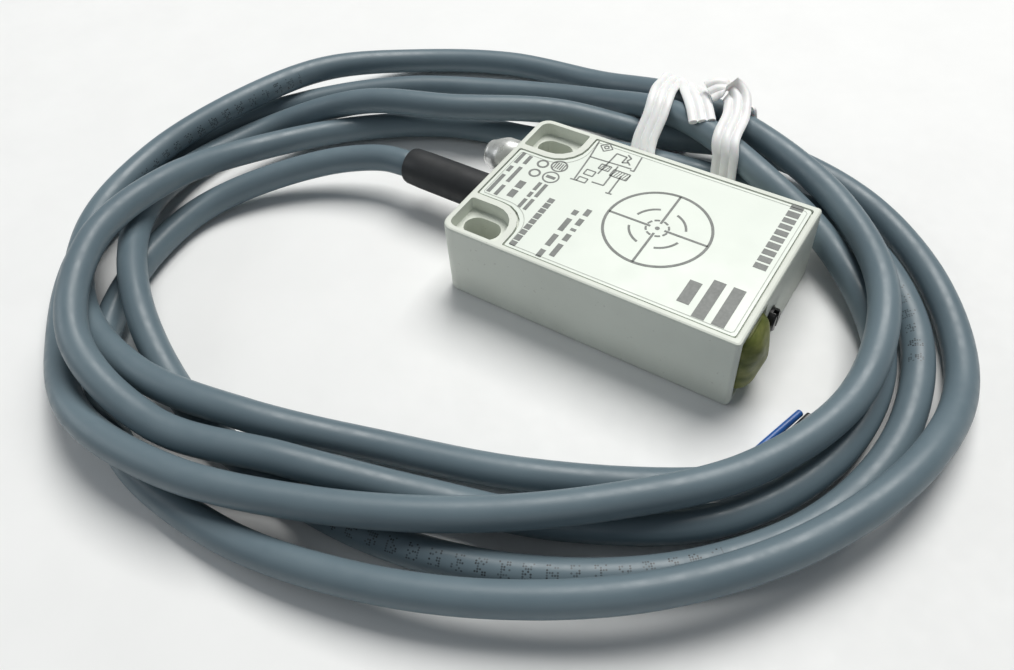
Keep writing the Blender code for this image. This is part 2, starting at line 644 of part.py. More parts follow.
def make_cable():
    points = smooth_curve(CABLE_ROUTE, CABLE_STEP)
    square_to_sleeve = np.insert(points, 1, CABLE_ROUTE[1], axis=0)
    tube("cable", square_to_sleeve, CABLE_DIAMETER, "cable_grey")
    for name, route in TAIL_ROUTES.items():
        tube(name, smooth_curve(route, 2.5), CORE_DIAMETER, name, resolution=1)
    strands = smooth_curve([*points], 0.5)
    for name, (along, angles) in TIE_TURNS.items():
        strip(name, tie_turn(strands, along, angles), TIE_WIDTH, TIE_THICKNESS, "tie_white")


clear_scene()
make_housing()
make_covers()
make_board()
make_sensing_stack()
make_trimmer()
make_window()
make_lens()
make_cable_entry()
make_cable()
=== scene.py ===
import math

import bpy
import numpy as np
from mathutils import Matrix, Vector


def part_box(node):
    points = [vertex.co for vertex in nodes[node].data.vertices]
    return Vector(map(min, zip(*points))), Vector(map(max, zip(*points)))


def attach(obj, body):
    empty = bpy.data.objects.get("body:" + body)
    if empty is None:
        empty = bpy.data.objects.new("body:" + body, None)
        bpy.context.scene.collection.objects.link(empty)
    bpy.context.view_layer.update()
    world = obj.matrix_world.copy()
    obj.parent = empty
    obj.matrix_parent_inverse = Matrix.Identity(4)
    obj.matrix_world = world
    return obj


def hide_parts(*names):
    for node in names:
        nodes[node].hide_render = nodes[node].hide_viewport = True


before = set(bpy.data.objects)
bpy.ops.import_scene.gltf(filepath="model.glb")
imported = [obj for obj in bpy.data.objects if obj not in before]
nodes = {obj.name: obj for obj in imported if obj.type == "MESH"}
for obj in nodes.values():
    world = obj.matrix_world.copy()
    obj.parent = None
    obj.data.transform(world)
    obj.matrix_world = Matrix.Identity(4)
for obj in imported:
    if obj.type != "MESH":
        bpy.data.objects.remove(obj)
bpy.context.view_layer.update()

mm = 0.001
uvLength = 0.1                    # metres of run in one unit of the texture


studio = {
    "cameraPlace": (0.04918, -0.10471, 0.11765),
    "cameraTarget": (-0.01145, -0.02226, 0.0),
    "cameraRoll": -4.92,          # degrees, about the line of sight
    "lens": 31.72,                # mm on a 36 mm sensor
    "floorHalf": 5.0,
    "floorDrop": 0.00015,         # just under the lowest strand
    "skyColour": (0.86, 0.93, 1.0, 1.0),
    "skyStrength": 0.15,
}
areaLights = {
    # name: (place, aimed at, width, watts, colour)
    "topSoftbox": ((-0.10, 0.62, 1.15), (0.0, -0.01, 0.0), 0.80, 18.6, (1.0, 0.99, 0.965)),
    "frontCard": ((0.42, -0.55, 0.30), (0.0, 0.0, 0.01), 0.40, 0.32, (0.93, 0.97, 1.0)),
    "leftCard": ((-0.60, -0.25, 0.34), (-0.02, 0.0, 0.01), 0.36, 0.75, (0.95, 0.98, 1.0)),
}


def aimed(place, target, roll=0.0):
    # turns local -Z to the target with local +Y up, then rolls about local Z
    facing = (Vector(target) - Vector(place)).to_track_quat("-Z", "Y").to_matrix().to_4x4()
    return Matrix.Translation(place) @ facing @ Matrix.Rotation(math.radians(roll), 4, "Z")


def makeCamera():
    data = bpy.data.cameras.new("camera")
    data.lens = studio["lens"]
    data.sensor_width = 36.0
    data.clip_start = 0.005
    camera = bpy.data.objects.new("camera", data)
    camera.matrix_world = aimed(studio["cameraPlace"], studio["cameraTarget"], studio["cameraRoll"])
    bpy.context.scene.collection.objects.link(camera)
    bpy.context.scene.camera = camera


def makeLights():
    for name, (place, target, width, watts, colour) in areaLights.items():
        data = bpy.data.lights.new(name, "AREA")
        data.shape = "SQUARE"
        data.size = width
        data.energy = watts
        data.color = colour
        lamp = bpy.data.objects.new(name, data)
        lamp.matrix_world = aimed(place, target)
        bpy.context.scene.collection.objects.link(lamp)
    world = bpy.data.worlds.new("studio")
    world.use_nodes = True
    background = world.node_tree.nodes["Background"]
    background.inputs["Color"].default_value = studio["skyColour"]
    background.inputs["Strength"].default_value = studio["skyStrength"]
    bpy.context.scene.world = world
    bpy.context.scene.view_settings.view_transform = "Standard"


def quadGrid(rows, columns, ringed=True):
    # index quads of a grid whose rows are rings (or strips, when not ringed)
    r = np.arange(rows - 1)[:, None]
    c = np.arange(columns if ringed else columns - 1)[None, :]
    n = (c + 1) % columns
    here, above = r * columns, (r + 1) * columns
    return np.stack([here + c, here + n, above + n, above + c], axis=-1).reshape(-1, 4)


def addMesh(name, points, faces, material, uv=None, smooth=True, sharp=None):
    mesh = bpy.data.meshes.new(name)
    mesh.from_pydata(np.asarray(points).tolist(), [], faces)
    if uv is not None:
        layer = mesh.uv_layers.new(name="run")
        corner = np.empty(len(mesh.loops), np.int32)
        mesh.loops.foreach_get("vertex_index", corner)
        layer.data.foreach_set("uv", np.asarray(uv, np.float32)[corner].ravel())
    mesh.materials.append(material)
    if smooth:
        mesh.shade_smooth()
        if sharp:
            mesh.set_sharp_from_angle(angle=math.radians(sharp))
    mesh.update()
    obj = bpy.data.objects.new(name, mesh)
    bpy.context.scene.collection.objects.link(obj)
    return obj


def smoothCurve(route, step, fine=0.0004):
    # cubic stretches whose end slopes are the length-weighted mean of their neighbours', read at even steps
    p = np.asarray(route, float)
    span = np.diff(p, axis=0)
    h = np.linalg.norm(span, axis=1)[:, None]
    slope = span / h
    inner = (slope[:-1] * h[1:] + slope[1:] * h[:-1]) / (h[:-1] + h[1:])
    m = np.vstack([slope[:1], inner, slope[-1:]])
    parts = []
    for i in range(len(h)):
        count = max(2, int(h[i, 0] / fine))
        u = (np.arange(count) / count)[:, None]
        parts.append((2 * u**3 - 3 * u**2 + 1) * p[i] + (u**3 - 2 * u**2 + u) * h[i] * m[i]
                     + (3 * u**2 - 2 * u**3) * p[i + 1] + (u**3 - u**2) * h[i] * m[i + 1])
    line = np.vstack([*parts, p[-1:]])
    run = np.concatenate([[0.0], np.cumsum(np.linalg.norm(np.diff(line, axis=0), axis=1))])
    stations = np.linspace(0.0, run[-1], int(round(run[-1] / step)) + 1)
    return np.column_stack([np.interp(stations, run, line[:, k]) for k in range(3)]), stations


def unit(v):
    return v / np.maximum(np.linalg.norm(v, axis=-1, keepdims=True), 1e-12)


def roundTube(name, line, run, radius, material, sides=24, endRound=0.25, spinShare=None):
    # rings square to the line, upright against +Z; each end closes through a small rounded shoulder
    ahead = unit(np.gradient(line, axis=0))
    side = unit(np.cross(ahead, [0.0, 0.0, 1.0]))
    up = np.cross(side, ahead)
    a = np.arange(sides) / sides
    share = np.zeros(len(run)) if spinShare is None else np.interp(run, *np.array(spinShare).T)
    spin = 2 * math.pi * (a[None, :] + share[:, None])
    spokes = np.sin(spin)[..., None] * side[:, None] + np.cos(spin)[..., None] * up[:, None]
    ring = line[:, None] + radius * spokes
    shoulder = []
    for sign, k in ((-1, 0), (1, -1)):
        rows = []
        for t in (0.35, 0.75, 1.0):
            bend = t * math.pi / 2
            r = radius * (1 - endRound * (1 - math.cos(bend)))
            push = sign * ahead[k] * radius * endRound * math.sin(bend)
            rows.append(line[k] + push + r * spokes[k])
        shoulder.append(rows)
    ring = np.vstack([np.array(shoulder[0][::-1]), ring, np.array(shoulder[1])])
    rows = len(ring)
    points = ring.reshape(-1, 3)
    runs = np.concatenate([[run[0]] * 3, run, [run[-1]] * 3])
    uv = np.stack([np.repeat(runs, sides) / uvLength, np.tile(a, rows)], axis=1)
    faces = quadGrid(rows, sides)[:, ::-1].tolist()
    faces.append(list(range(sides)))
    faces.append(list(range((rows - 1) * sides, rows * sides))[::-1])
    return addMesh(name, points, faces, material, uv=uv, sharp=50)


def turnedPiece(name, profile, centre, material, sides=48, sharp=35):
    # a profile of (x, radius) spun about a line along X through centre = (y, z); both ends closed
    profile = np.asarray(profile, float)
    a = 2 * math.pi * np.arange(sides) / sides
    x = np.repeat(profile[:, 0], sides)
    r = np.repeat(profile[:, 1], sides)
    turn = np.tile(a, len(profile))
    points = np.stack([x, centre[0] + r * np.cos(turn), centre[1] + r * np.sin(turn)], axis=1)
    faces = quadGrid(len(profile), sides)
    ascending = profile[-1, 0] > profile[0, 0]
    if ascending:
        faces = faces[:, ::-1]
    faces = faces.tolist()
    first = list(range(sides))
    last = list(range((len(profile) - 1) * sides, len(profile) * sides))
    faces.append(first[::-1] if ascending else first)
    faces.append(last if ascending else last[::-1])
    return addMesh(name, points, faces, material, sharp=sharp)


class Recipe:
    # a Principled material with its nodes laid down one by one
    def __init__(self, name, **sockets):
        self.material = bpy.data.materials.new(name)
        self.material.use_nodes = True
        self.tree = self.material.node_tree
        self.shader = self.tree.nodes["Principled BSDF"]
        for key, value in sockets.items():
            self.shader.inputs[key.replace("_", " ")].default_value = value
        self.coords = self.tree.nodes.new("ShaderNodeTexCoord")

    def feed(self, value, socket):
        # links an output, or sets a plain value
        if hasattr(value, "is_linked"):
            self.tree.links.new(value, socket)
        else:
            socket.default_value = value

    def add(self, kind, settings=None, **inputs):
        # an input is named, with _ for a space, or numbered, as i0
        node = self.tree.nodes.new("ShaderNode" + kind)
        for key, value in (settings or {}).items():
            setattr(node, key, value)
        for key, value in inputs.items():
            numbered = key[0] == "i" and key[1:].isdigit()
            self.feed(value, node.inputs[int(key[1:]) if numbered else key.replace("_", " ")])
        return node

    def math(self, operation, a, b=0.0, c=0.0):
        return self.add("Math", {"operation": operation}, i0=a, i1=b, i2=c).outputs[0]

    def noise(self, scale, detail=3.0, roughness=0.55, vector=None):
        source = vector or self.coords.outputs["Object"]
        return self.add("TexNoise", None, Vector=source, Scale=scale, Detail=detail,
                        Roughness=roughness).outputs["Fac"]

    def fade(self, value, start, end, low, high):
        # carries start..end of a value to low..high
        return self.add("MapRange", None, Value=value, From_Min=start, From_Max=end,
                        To_Min=low, To_Max=high).outputs[0]

    def stretch(self, low, high, value):
        # carries the middle of a noise, 0.35 to 0.65, to low..high
        return self.fade(value, 0.35, 0.65, low, high)

    def product(self, first, *others):
        for value in others:
            first = self.math("MULTIPLY", first, value)
        return first

    def between(self, value, low, high):
        # 1 inside low..high, 0 outside
        return self.product(self.math("GREATER_THAN", value, low), self.math("LESS_THAN", value, high))

    def mix(self, factor, a, b):
        node = self.tree.nodes.new("ShaderNodeMix")
        node.data_type = "RGBA"
        for index, value in ((0, factor), (6, a), (7, b)):
            self.feed(value, node.inputs[index])
        return node.outputs[2]

    def colour(self, value):
        self.tree.links.new(value, self.shader.inputs["Base Color"])

    def rough(self, value):
        self.tree.links.new(value, self.shader.inputs["Roughness"])

    def bump(self, height, distance, strength=1.0):
        node = self.add("Bump", None, Height=height, Distance=distance, Strength=strength)
        self.tree.links.new(node.outputs[0], self.shader.inputs["Normal"])


def moulded(name, light, dark, roughness, grain=900.0, grainDepth=0.00002, drift=60.0, **sockets):
    # moulded plastic: slow colour drift, uneven gloss and a fine spark-eroded grain
    made = Recipe(name, **sockets)
    slow = made.noise(drift, 4.0)
    made.colour(made.mix(made.stretch(0.0, 1.0, slow), (*dark, 1.0), (*light, 1.0)))
    made.rough(made.stretch(roughness[0], roughness[1], made.noise(drift * 6, 5.0)))
    made.bump(made.noise(grain, 2.0), grainDepth, 0.5)
    return made.material


def housingFinish():
    # light grey-green polyester with dark specks, darker towards the bottom of the walls
    made = Recipe("housingPolyester", Specular_IOR_Level=0.45)
    slow = made.stretch(0.0, 1.0, made.noise(45.0, 4.0))
    base = made.mix(slow, (0.685, 0.715, 0.645, 1.0), (0.74, 0.775, 0.70, 1.0))
    height = made.add("SeparateXYZ", None, Vector=made.coords.outputs["Object"]).outputs["Z"]
    # the colour darkens towards the bottom of the walls, in uneven patches
    darkerLow = made.product(made.fade(height, 0.0, 0.006, 0.35, 0.0), made.noise(300.0, 5.0))
    base = made.mix(darkerLow, base, (0.36, 0.36, 0.31, 1.0))
    speck = made.fade(made.noise(1500.0, 1.0, 0.5), 0.72, 0.78, 0.0, 0.35)
    made.colour(made.mix(speck, base, (0.42, 0.42, 0.37, 1.0)))
    made.rough(made.stretch(0.42, 0.56, made.noise(260.0, 5.0)))
    made.bump(made.noise(1400.0, 2.0), 0.00003, 0.35)
    return made.material


def labelFinish():
    # printed foil: nearly white with a green cast, a faint sheen of fine scratches
    made = Recipe("labelFoil", Specular_IOR_Level=0.5)
    slow = made.stretch(0.0, 1.0, made.noise(35.0, 3.0))
    made.colour(made.mix(slow, (0.745, 0.80, 0.73, 1.0), (0.785, 0.835, 0.765, 1.0)))
    made.rough(made.stretch(0.34, 0.46, made.noise(180.0, 6.0)))
    stretched = made.add("Mapping", None, Vector=made.coords.outputs["Object"], Scale=(60.0, 2200.0, 60.0))
    made.bump(made.noise(1.0, 3.0, vector=stretched.outputs[0]), 0.00001, 0.25)
    return made.material


sheathMarks = {
    # in millimetres along the lead and round it, or in cells of one pitch
    "groups": [(548.0, 614.0), (664.0, 692.0), (1618.0, 1664.0)],
    "band": (1.80, 4.32),
    "girth": 16.34,
    "pitch": 0.36,
    "dot": 0.17,                  # squared radius, in cells
    "blank": 0.52,                # share of the cells that stay empty
    "repeat": 9.0,                # cells from one cluster of dots to the next
    "cluster": 4.5,
}


def sheathFinish():
    # satin blue-grey sheath, drawn lengthwise, with clusters of random dots along one line
    made = Recipe("sheathVinyl", Specular_IOR_Level=0.42)
    parts = made.add("SeparateXYZ", None, Vector=made.coords.outputs["UV"])
    along = made.math("MULTIPLY", parts.outputs["X"], uvLength / mm)
    around = made.math("MULTIPLY", parts.outputs["Y"], sheathMarks["girth"])
    slow = made.stretch(0.0, 1.0, made.noise(40.0, 4.0))
    base = made.mix(slow, (0.118, 0.164, 0.192, 1.0), (0.142, 0.194, 0.224, 1.0))
    cells = []
    offsets = []
    for way in (along, around):
        cells.append(made.math("FLOOR", made.math("DIVIDE", way, sheathMarks["pitch"])))
        share = made.math("FRACT", made.math("DIVIDE", way, sheathMarks["pitch"]))
        offsets.append(made.math("SUBTRACT", share, 0.5))
    cell = made.add("CombineXYZ", None, X=cells[0], Y=cells[1], Z=3.0).outputs[0]
    chance = made.add("TexWhiteNoise", {"noise_dimensions": "3D"}, Vector=cell).outputs["Value"]
    lit = made.math("GREATER_THAN", chance, sheathMarks["blank"])
    place = made.math("MODULO", cells[0], sheathMarks["repeat"])
    clustered = made.math("LESS_THAN", place, sheathMarks["cluster"])
    reach = made.math("ADD", *(made.product(offset, offset) for offset in offsets))
    dot = made.math("LESS_THAN", reach, sheathMarks["dot"])
    band = made.between(around, *sheathMarks["band"])
    group = 0.0
    for first, last in sheathMarks["groups"]:
        group = made.math("ADD", group, made.between(along, first, last))
    ink = made.product(lit, clustered, dot, band, group)
    worn = made.product(ink, made.stretch(0.45, 0.9, made.noise(900.0, 2.0)))
    made.colour(made.mix(worn, base, (0.02, 0.022, 0.024, 1.0)))
    drawn = made.add("CombineXYZ", None, X=made.product(along, 0.25), Y=made.product(around, 5.0), Z=0.0)
    lines = made.noise(1.0, 3.0, vector=drawn.outputs[0])
    made.rough(made.stretch(0.33, 0.47, made.noise(420.0, 5.0)))
    made.bump(made.math("ADD", made.product(lines, 0.7), made.noise(1100.0, 2.0)), 0.00002, 0.35)
    return made.material


def windowFinish():
    # cast olive-yellow plastic with cloudy streaks; light gets a little way in
    made = Recipe("windowResin", Specular_IOR_Level=0.3, Subsurface_Weight=0.3, Subsurface_Scale=0.0015,
                  Coat_Weight=0.0)
    made.shader.inputs["Subsurface Radius"].default_value = (1.0, 0.9, 0.3)
    stretched = made.add("Mapping", None, Vector=made.coords.outputs["Object"], Scale=(260.0, 190.0, 420.0))
    cloud = made.stretch(0.0, 1.0, made.noise(1.0, 5.0, 0.6, vector=stretched.outputs[0]))
    made.colour(made.mix(cloud, (0.105, 0.125, 0.028, 1.0), (0.250, 0.262, 0.085, 1.0)))
    made.rough(made.stretch(0.38, 0.55, made.noise(500.0, 4.0)))
    made.bump(made.noise(420.0, 3.0), 0.00012, 0.4)
    return made.material


def lensFinish():
    # clear plastic, slightly frosted
    made = Recipe("clearLens", Transmission_Weight=0.55, IOR=1.45, Specular_IOR_Level=0.4)
    slow = made.stretch(0.0, 1.0, made.noise(300.0, 2.0))
    made.colour(made.mix(slow, (0.60, 0.61, 0.57, 1.0), (0.74, 0.75, 0.71, 1.0)))
    made.rough(made.stretch(0.24, 0.40, made.noise(700.0, 3.0)))
    made.bump(made.noise(250.0, 2.0), 0.00004, 0.25)
    return made.material


def tieFinish():
    # soft white extruded strip with a slight see-through edge
    made = Recipe("tieVinyl", Subsurface_Weight=0.1, Subsurface_Scale=0.0008, Specular_IOR_Level=0.5)
    slow = made.stretch(0.0, 1.0, made.noise(200.0, 3.0))
    made.colour(made.mix(slow, (0.86, 0.86, 0.85, 1.0), (0.93, 0.935, 0.93, 1.0)))
    made.rough(made.stretch(0.32, 0.48, made.noise(600.0, 4.0)))
    made.bump(made.noise(1600.0, 2.0), 0.00002, 0.4)
    return made.material


def metalFinish(name, light, dark, roughness):
    # dull metal with slow changes of tone
    made = Recipe(name, Metallic=1.0)
    made.colour(made.mix(made.stretch(0.0, 1.0, made.noise(250.0, 4.0)), (*dark, 1.0), (*light, 1.0)))
    made.rough(made.stretch(roughness[0], roughness[1], made.noise(900.0, 4.0)))
    made.bump(made.noise(1800.0, 2.0), 0.00001, 0.3)
    return made.material


print("finishes")
finish = {
    "housing": housingFinish(),
    "label": labelFinish(),
    "ink": moulded("labelInk", (0.205, 0.215, 0.205), (0.165, 0.175, 0.165), (0.45, 0.6), drift=400.0),
    "inkPale": moulded("labelBorderInk", (0.52, 0.55, 0.50), (0.46, 0.49, 0.44), (0.45, 0.6), drift=400.0),
    "sheath": sheathFinish(),
    "sleeve": moulded("sleeveRubber", (0.017, 0.019, 0.021), (0.009, 0.010, 0.012), (0.5, 0.66),
                      grain=1300.0, grainDepth=0.00004, Specular_IOR_Level=0.5),
    "trimmerHead": moulded("trimmerHeadNylon", (0.010, 0.010, 0.011), (0.004, 0.004, 0.005), (0.28, 0.42)),
    "window": windowFinish(),
    "lens": lensFinish(),
    "tie": tieFinish(),
    "seal": moulded("sealRubber", (0.02, 0.02, 0.02), (0.012, 0.012, 0.012), (0.5, 0.7)),
    "resin": moulded("pottingResin", (0.05, 0.05, 0.05), (0.03, 0.03, 0.03), (0.15, 0.3), drift=120.0),
    "board": moulded("solderMask", (0.02, 0.16, 0.06), (0.015, 0.12, 0.045), (0.25, 0.4), drift=300.0),
    "chip": moulded("chipMoulding", (0.022, 0.022, 0.024), (0.014, 0.014, 0.015), (0.5, 0.65), drift=500.0),
    "blue": moulded("trimmerCase", (0.03, 0.11, 0.38), (0.02, 0.08, 0.30), (0.3, 0.45), drift=300.0),
    "ceramic": moulded("firedCeramic", (0.76, 0.73, 0.66), (0.68, 0.65, 0.58), (0.45, 0.6), drift=700.0),
    "copper": metalFinish("copperPlate", (0.86, 0.47, 0.30), (0.62, 0.30, 0.18), (0.22, 0.38)),
    "tin": metalFinish("tinnedMetal", (0.72, 0.72, 0.73), (0.55, 0.55, 0.56), (0.25, 0.4)),
    "brown": moulded("insulationBrown", (0.16, 0.065, 0.03), (0.11, 0.045, 0.02), (0.28, 0.4), drift=500.0),
    "white": moulded("insulationWhite", (0.78, 0.78, 0.76), (0.68, 0.68, 0.66), (0.28, 0.4), drift=500.0),
    "blueCore": moulded("insulationBlue", (0.02, 0.105, 0.36), (0.014, 0.075, 0.27), (0.28, 0.4),
                        drift=500.0),
    "black": moulded("insulationBlack", (0.016, 0.016, 0.018), (0.010, 0.010, 0.012), (0.25, 0.38),
                     drift=500.0),
}

nodeFinish = {
    "housing": "housing", "base_plate": "housing", "front_label": "label", "potting_resin": "resin",
    "circuit_board": "board", "guard_ring": "copper", "sensing_electrode": "copper",
    "trimmer_wiper_wheel": "copper", "electrode_lead": "tin", "filter_capacitor": "tin",
    "cable_clamp": "tin",
    "electrode_carrier": "chip", "trimmer_adjuster": "trimmerHead", "trimmer_body": "blue",
    "trimmer_cover": "blue", "trimmer_element": "ceramic", "trimmer_seal": "seal", "jacket_end": "sheath",
    "window_led": "ceramic", "indicator_led": "ceramic", "ceramic_capacitor_1": "ceramic",
    "ceramic_capacitor_2": "ceramic", "lead_brown": "brown", "lead_white": "white",
    "lead_blue": "blueCore", "lead_black": "black",
}


def finishNodes():
    # what has no row above is a chip or a small part on the board
    for name, obj in nodes.items():
        obj.data.materials.clear()
        obj.data.materials.append(finish[nodeFinish.get(name, "chip")])


def settle(piece, slot, *replaced, body="sensor"):
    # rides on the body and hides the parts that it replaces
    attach(piece, body)
    if replaced:
        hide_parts(*replaced)
    return piece


# centre line in millimetres, made metres: sleeve end, four and a half laps round the sensor, sheath end
cableRoute = np.array([
    (-48, 0, 8), (-53, -0.4, 7.8), (-61, -3.4, 6.8), (-69.5, -9.4, 5.2), (-81, -27, 2.8),
    (-79, -45.5, 2.8), (-65, -66.5, 2.8), (-48, -75.5, 2.8),
    (-26, -77.5, 3), (-5, -74, 4.8), (15.5, -66, 6.2), (33.5, -54, 7.2), (47.5, -37.5, 7),
    (56.5, -17, 6.6), (57.5, 2.5, 3.2), (45.5, 25, 3), (30, 37, 3.4), (9, 41, 4.4),
    (-12, 36, 4.1), (-31, 28.5, 8.2), (-50.5, 18.5, 9.2), (-69.5, 12.2, 8.2), (-87, 1, 2.8),
    (-92, -19, 3.6), (-83.5, -38.5, 7.8), (-68, -53, 7.8),
    (-48.5, -62.5, 3), (-27.5, -66.5, 2.8), (-6, -66, 2.6), (15, -60, 2.8), (38.5, -43.5, 2.6),
    (45.5, -34.5, 2.6), (52.5, -10.5, 2.6), (48, 10.5, 2.8), (29.5, 28.5, 3.1), (15, 29, 4.3),
    (-11.5, 27.5, 4.1), (-33, 24.5, 2.9), (-54, 19.5, 2.8), (-70.5, 9, 2.8), (-82, -8.5, 5.2),
    (-83.5, -29.5, 11.6), (-79, -50, 14.6), (-65, -66.5, 13),
    (-44.5, -70.5, 9), (-23.5, -65, 8.2), (-3.5, -57.5, 4.2), (17, -50, 2.8), (35.5, -38, 2.8),
    (45.5, -19.5, 2.8), (45, 2, 2.8), (32, 18.5, 4.8), (13, 27.5, 9.7), (-7.5, 36, 10.4),
    (-28.5, 40, 4.8), (-49.5, 36, 2.8), (-69.5, 27, 2.8), (-86, 12.5, 2.6), (-96.5, -6, 2.8),
    (-96.5, -29, 2.8), (-92.5, -46.5, 2.8), (-77, -64.5, 3.4),
    (-58, -75, 7.2), (-36.5, -75.5, 8.6), (-15.5, -69, 8.2), (4, -59.5, 8.2), (21.5, -47, 8.4),
    (36.5, -31.5, 8.2), (44.5, -11.5, 8), (41.5, 10, 9), (28.5, 27, 9), (9.5, 37.5, 9.9),
    (-11, 44.5, 8.4), (-32, 48, 3.4), (-54, 46, 2.8), (-73.5, 37, 3), (-86.5, 20.5, 6.6),
    (-92, -0.5, 9), (-96, -22, 8.2), (-91, -43, 8), (-76, -58.5, 8), (-55.5, -64.5, 8.4),
    (-34, -61.5, 7.6), (-14.5, -53.5, 3.2), (6.5, -46.5, 2.8), (25, -37.6, 2.6), (31.2, -33.9, 2.6),
], float) * mm
cable = {
    "diameter": 0.0052,
    "step": 0.0011,
    "sides": 24,
    # (metres along, share of a turn): how the printed line winds round the sheath
    "winding": [(0.0, 0.35), (0.58, -0.12), (0.678, -0.27), (1.30, -0.9), (1.643, -1.43), (1.82, -1.7)],
}
cores = {
    # name: (route in millimetres, finish, slot)
    "coreBlue": ([(32.2, -33.1, 2.4), (34.2, -27.4, 2.6), (35.9, -21.6, 2.4), (38.0, -14.6, 2.2)],
                 "blueCore", "core_blue"),
    "coreBlack": ([(33.0, -34.3, 2.4), (35.2, -27.8, 1.7), (37.1, -21.4, 1.1), (39.4, -13.9, 1.6)],
                  "black", "core_black"),
    "coreBrown": ([(31.7, -32.3, 0.9), (32.4, -30.2, 0.8), (33.0, -28.2, 0.7), (33.6, -26.3, 0.7)],
                  "brown", "core_brown"),
    "coreWhite": ([(32.4, -33.7, 0.9), (36.2, -30.6, 0.8), (38.6, -26.4, 0.8), (40.2, -21.4, 0.8)],
                  "white", "core_white"),
}
coreRadius = 0.0006


def makeCable():
    line, run = smoothCurve(cableRoute, cable["step"])
    sheath = roundTube("cableSheath", line, run, cable["diameter"] / 2, finish["sheath"],
                       sides=cable["sides"], endRound=0.12, spinShare=cable["winding"])
    settle(sheath, "cable_sheath", "cable")
    return sheath, line, run


def makeCores():
    made = []
    for name, (route, colour, slot) in cores.items():
        line, run = smoothCurve(np.array(route) * mm, 0.0004, 0.0001)
        core = roundTube(name, line, run, coreRadius, finish[colour], sides=14, endRound=0.2)
        made.append(settle(core, slot, slot))
    return made


tie = {
    "width": 0.0052,
    "ridge": 0.00052,             # half thickness on a ridge
    "groove": 0.00010,            # half thickness in a groove
    "lowest": 0.00070,            # its middle stays this far off the floor
    "clear": 0.0013,              # from the strands' surface to the strip's middle
    "ease": 0.0045,               # half the stretch over which a bend is rounded off
    "bundle": (0.99, -0.12, 0.0),  # how the strands run there
    "strandsY": (0.018, 0.052),   # the strands that it goes round lie between these
    "edge": 0.00008,              # half thickness at either edge
    "ridges": 3,
    "ridgeShape": 0.7,            # below 1 makes the ridges broader than the grooves
    "pointsAcross": 31,
    "spacing": 0.0005,            # along the strip, while it is eased
    "tabLean": (0.80, 0.60, 0.05),
}
tieTurns = {
    # name: (angle, x in mm) from one end to the other: 0 is the back, 90 the top, 180 the front
    "tieLeft": [(-40.0, -14.5), (0.0, -15.0), (90.0, -12.4), (190.0, -7.6), (322.0, -8.6)],
    "tieRight": [(440.0, 3.4), (360.0, 3.6), (270.0, 5.4), (180.0, 7.2), (128.0, 5.2)],
}
tieTab = [(-9.8, 46.9, 8.2), (-9.2, 45.4, 11.2), (-7.6, 42.0, 12.9), (-5.4, 38.8, 13.7),
          (-3.4, 35.9, 13.8), (-1.2, 32.6, 13.3)]
tieCurl = [(3.6, 37.4, 14.6), (2.2, 40.2, 15.4), (0.2, 41.2, 15.9), (-1.8, 40.6, 15.8),
           (-3.2, 39.4, 15.2)]


def turnAround(line, stops, step=4.0):
    # at each angle the strip lies just clear of the strand that reaches furthest that way
    turns, places = np.array(stops).T
    order = np.argsort(turns)
    count = int(abs(turns[-1] - turns[0]) / step)
    reach = cable["diameter"] / 2 + tie["clear"]
    points = []
    for i in range(count + 1):
        angle = turns[0] + (turns[-1] - turns[0]) * i / count
        x = np.interp(angle, turns[order], places[order]) * mm
        turn = math.radians(angle)
        crossing = np.flatnonzero(np.diff(np.sign(line[:, 0] - x)))
        strands = line[crossing][:, 1:]
        near = strands[(strands[:, 0] > tie["strandsY"][0]) & (strands[:, 0] < tie["strandsY"][1])]
        out = np.array([math.cos(turn), math.sin(turn)])
        furthest = near[np.argmax(near @ out)]
        place = np.array([x, *(furthest + out * reach)])
        place[2] = max(place[2], tie["lowest"])
        if not points or np.linalg.norm(place - points[-1]) > 0.0002:
            points.append(place)
    return easedLine(np.array(points))


def easedLine(points):
    # evenly spaced points, each the mean of those within the ease on either side; the ends stay
    gaps = np.linalg.norm(np.diff(points, axis=0), axis=1)
    run = np.concatenate([[0.0], np.cumsum(gaps)])
    even = np.arange(0.0, run[-1], tie["spacing"])
    line = np.column_stack([np.interp(even, run, points[:, k]) for k in range(3)])
    ease = np.minimum(tie["ease"], np.minimum(even, even[-1] - even) + 1e-6)
    near = np.abs(even[:, None] - even[None]) < ease[:, None]
    return ((near @ line) / near.sum(axis=1, keepdims=True))[::3]


def ribbedStrip(name, route, lean=None):
    # half thickness = groove + (ridge - groove) |sin(ridges pi t)|^ridgeShape
    # for t from 0 to 1 across the width
    line, run = smoothCurve(route, 0.0004, 0.0001)
    ahead = unit(np.gradient(line, axis=0))
    lie = np.tile(np.array(tie["bundle"]), (len(line), 1)) if lean is None else lean(run / run[-1])
    across = unit(lie - ahead * np.sum(lie * ahead, axis=1, keepdims=True))
    out = np.cross(ahead, across)
    t = np.linspace(0.0, 1.0, tie["pointsAcross"])
    rise = np.abs(np.sin(tie["ridges"] * math.pi * t)) ** tie["ridgeShape"]
    half = tie["groove"] + (tie["ridge"] - tie["groove"]) * rise
    half[[0, -1]] = tie["edge"]
    w = (t - 0.5) * tie["width"]
    a = np.concatenate([w, w[::-1]])
    b = np.concatenate([half, -half[::-1]])
    points = line[:, None] + a[None, :, None] * across[:, None] + b[None, :, None] * out[:, None]
    columns = len(a)
    faces = quadGrid(len(line), columns).tolist()
    faces.append(list(range(columns))[::-1])
    faces.append(list(range((len(line) - 1) * columns, len(line) * columns)))
    return addMesh(name, points.reshape(-1, 3), faces, finish["tie"], sharp=60)


